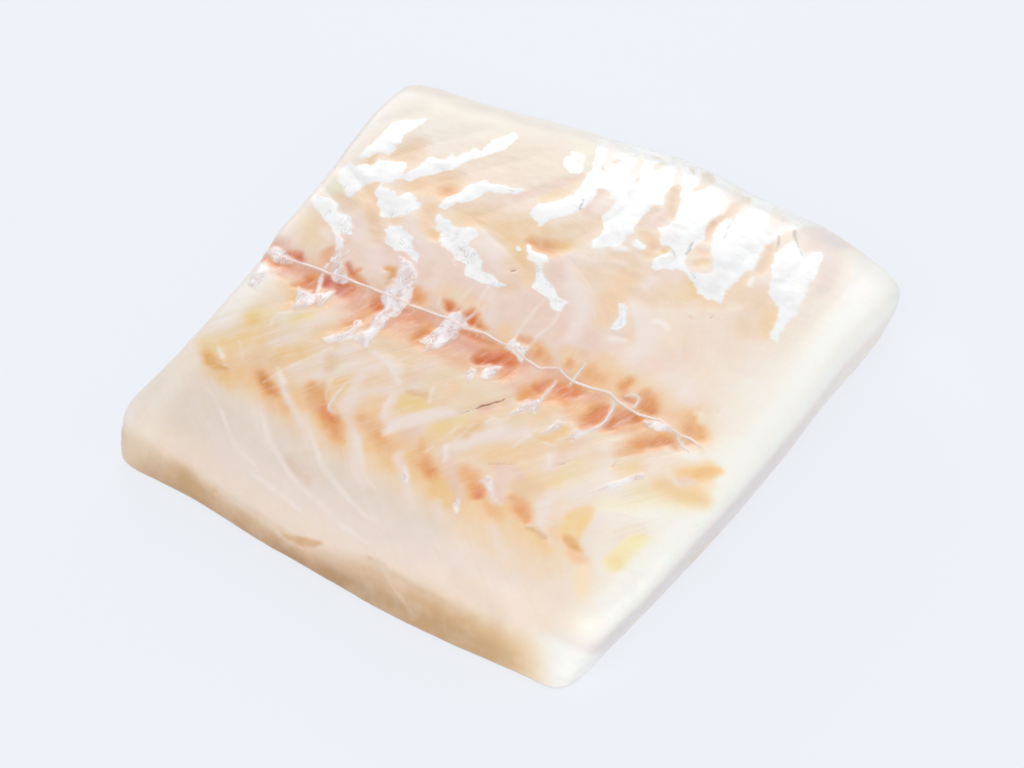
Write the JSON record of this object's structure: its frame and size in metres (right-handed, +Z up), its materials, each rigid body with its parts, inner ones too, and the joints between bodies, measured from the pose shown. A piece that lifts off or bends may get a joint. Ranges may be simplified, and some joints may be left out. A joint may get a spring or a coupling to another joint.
{
  "type": "cod fillet portion",
  "caption": "Thick, skinless portion of cod fillet, flesh side up, nearly square, with W-shaped muscle flakes along a blood-red midline and two knife-cut ends.",
  "frame": {"origin": "centre of the bounding box in X and Y, at the height of the flat underside", "axes": "+Z up out of the flesh side; X along the fish, head-side knife cut at -X and tail-side knife cut at +X; -Y the belly edge, +Y the rounded back edge"},
  "size_m": [0.1196, 0.132, 0.0206],
  "materials": {
    "cod_flesh": "moist, translucent raw fish"
  },
  "bodies": {
    "root": {"cod_fillet": "cod_flesh"}
  },
  "joints": []
}
